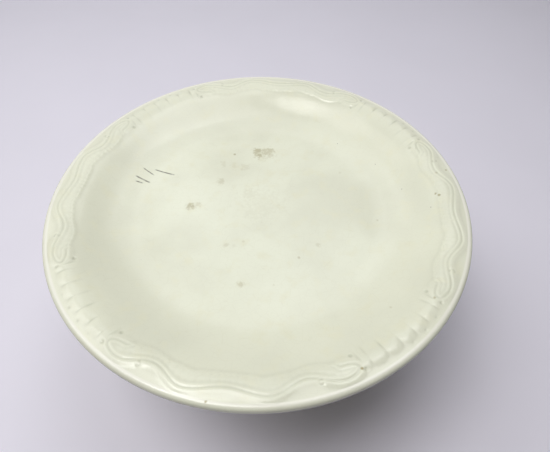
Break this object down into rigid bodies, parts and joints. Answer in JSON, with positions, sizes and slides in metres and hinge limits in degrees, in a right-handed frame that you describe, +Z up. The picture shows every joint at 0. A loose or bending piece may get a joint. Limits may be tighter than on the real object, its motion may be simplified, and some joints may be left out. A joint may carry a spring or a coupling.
{
  "type": "footed fruit bowl",
  "caption": "Shallow round fruit bowl in white glazed earthenware with a moulded ribbon and flute border, standing on a hollow turned pedestal.",
  "frame": {"origin": "middle of the circle that the foot ring stands on", "axes": "+Z up along the axis that the dish and the pedestal are turned about; -Y faces the viewer of the picture and +X is to the viewer's right"},
  "size_m": [0.24, 0.24, 0.1329],
  "materials": {
    "glaze": "clear glossy glaze on cream-white earthenware, faintly crazed, with a few stains and iron specks",
    "pedestal_glaze": "the same glaze, pooled greenish in the hollows, with a bare ring where the foot stands",
    "slip": "sponged clay slip under the glaze"
  },
  "bodies": {
    "root": {"dish": "glaze", "pedestal": "pedestal_glaze", "outer_lute": "slip", "inner_lute": "slip"}
  },
  "joints": []
}
